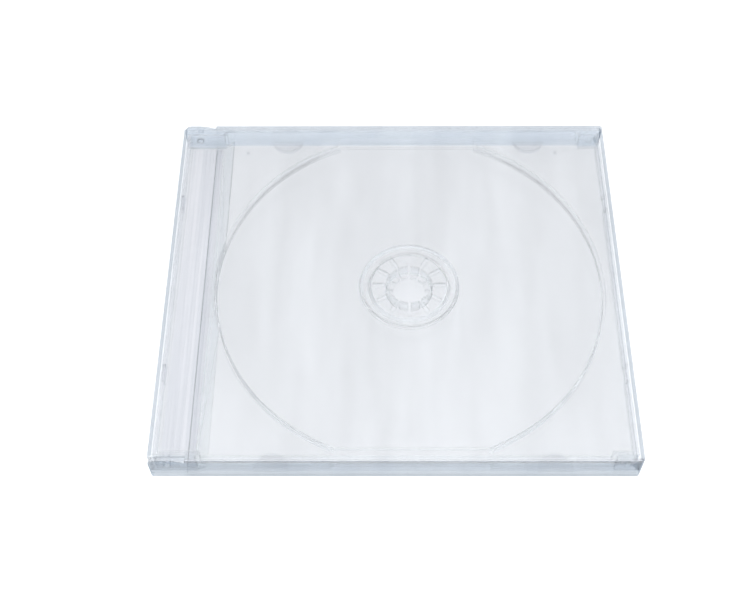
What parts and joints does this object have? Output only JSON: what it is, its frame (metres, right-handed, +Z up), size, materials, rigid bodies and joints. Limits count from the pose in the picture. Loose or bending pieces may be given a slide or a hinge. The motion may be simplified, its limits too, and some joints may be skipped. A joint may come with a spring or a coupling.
{
  "type": "disc case",
  "caption": "Clear hinged plastic case that holds one disc on a clip hub in a recessed tray under a swing-open lid.",
  "frame": {"origin": "middle of the lid's outer face, on which the closed case lies", "axes": "+X along the length from the hinge end to the opening end, +Y across the width, +Z up out of the base's panel, because the case lies on its lid"},
  "size_m": [0.142, 0.125, 0.0104],
  "materials": {
    "clear_base": "clear polished",
    "clear_tray": "clear polished",
    "clear_lid": "clear polished"
  },
  "bodies": {
    "lid": {"front_lid": "clear_lid"},
    "base": {"case_base": "clear_base", "disc_tray": "clear_tray"}
  },
  "joints": [
    {"name": "lid_hinge", "type": "hinge", "parent": "lid", "child": "base", "pos_m": [-0.066, 0, 0.0052], "axis": [0, -1, 0], "range_deg": [0, 180]}
  ]
}
